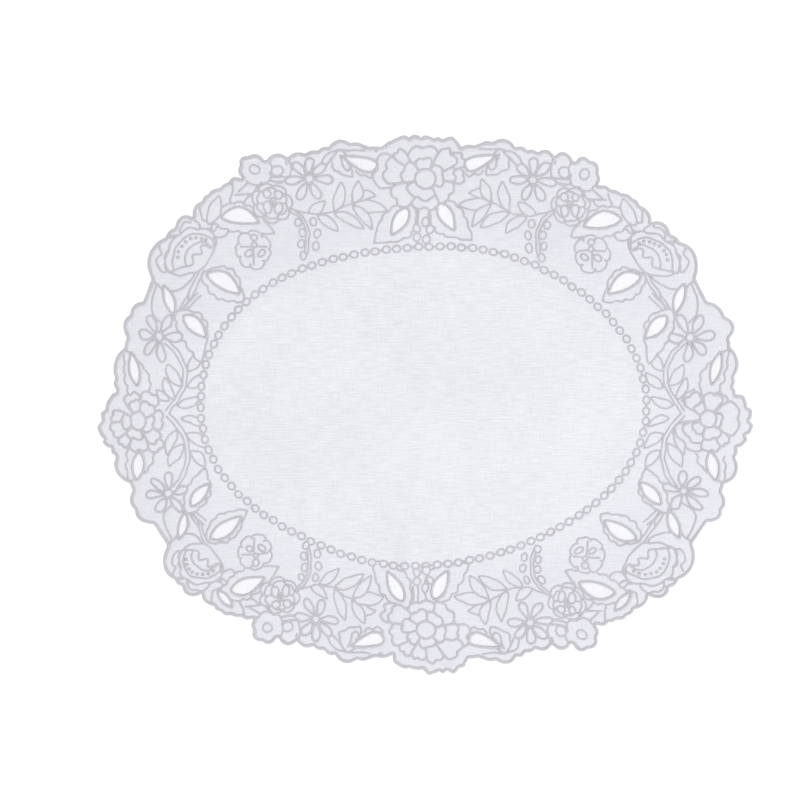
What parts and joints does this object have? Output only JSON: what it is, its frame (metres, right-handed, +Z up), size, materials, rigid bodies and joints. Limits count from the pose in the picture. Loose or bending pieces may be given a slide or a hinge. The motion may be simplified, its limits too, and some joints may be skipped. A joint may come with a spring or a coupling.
{
  "type": "lace placemat",
  "caption": "Oval white linen placemat with a scalloped embroidered border of flowers and leaves and sheer net leaf inserts.",
  "frame": {"origin": "centre of the underside, on the plane that the mat lies on", "axes": "+X along the long side to the right, +Y along the short side to the back, +Z up out of the face"},
  "size_m": [0.4331, 0.3567, 0.0012],
  "materials": {
    "linen": "matte plain-weave linen with corded edge and outlines",
    "net": "sheer fine net"
  },
  "bodies": {
    "root": {"linen_ground": "linen", "net_chain_left_back": "net", "net_chain_left_front": "net", "net_chain_right_back": "net", "net_chain_right_front": "net", "net_corner_left_front": "net", "net_corner_right_front": "net", "net_daisy_left_back": "net", "net_daisy_left_front": "net", "net_daisy_right_back": "net", "net_daisy_right_front": "net", "net_flank_left_back": "net", "net_flank_left_front": "net", "net_flank_right_back": "net", "net_flank_right_front": "net", "net_rose_foot_left_back": "net", "net_rose_foot_left_front": "net", "net_rose_foot_right_back": "net", "net_rose_foot_right_front": "net", "net_rose_side_left_back": "net", "net_rose_side_left_front": "net", "net_rose_side_right_back": "net", "net_rose_side_right_front": "net", "net_rosette_left_back": "net", "net_rosette_left_front": "net", "net_rosette_right_back": "net", "net_rosette_right_front": "net", "net_shoulder_left_back": "net", "net_shoulder_left_front": "net", "net_shoulder_right_back": "net", "net_shoulder_right_front": "net"}
  },
  "joints": []
}
